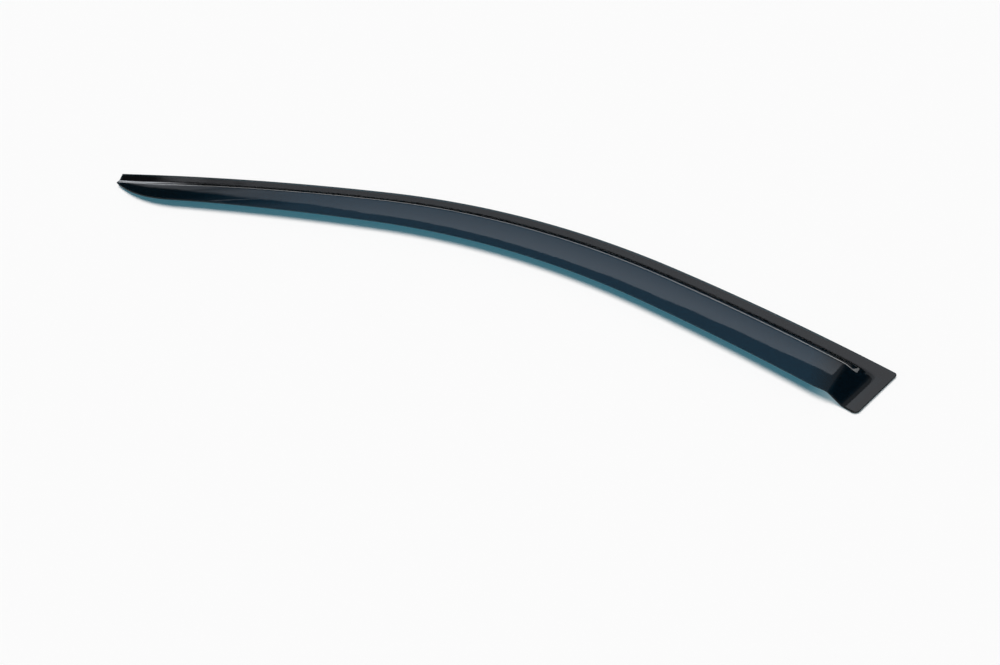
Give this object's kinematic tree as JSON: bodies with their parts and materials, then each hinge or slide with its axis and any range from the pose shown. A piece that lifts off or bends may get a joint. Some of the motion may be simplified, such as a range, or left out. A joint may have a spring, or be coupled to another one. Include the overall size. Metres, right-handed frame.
{
  "type": "window rain deflector",
  "caption": "Long, gently bent strip of smoked see-through acrylic with a flat taped flange, a step up to an overhanging wing, and a square tab at one end.",
  "frame": {"origin": "middle of the tape's strip on its sticking face, halfway along the outer edge", "axes": "+X along the chord from the front tip to the rear tab, +Z out of the window's plane towards the outside of the car, so that the wing is on the -Y side"},
  "size_m": [0.9733, 0.1477, 0.0175],
  "materials": {
    "smoked_acrylic": "gloss, see-through smoke grey with a blue-green cast",
    "foam_tape": "matt black foam"
  },
  "bodies": {
    "root": {"visor": "smoked_acrylic", "adhesive_tape": "foam_tape"}
  },
  "joints": []
}
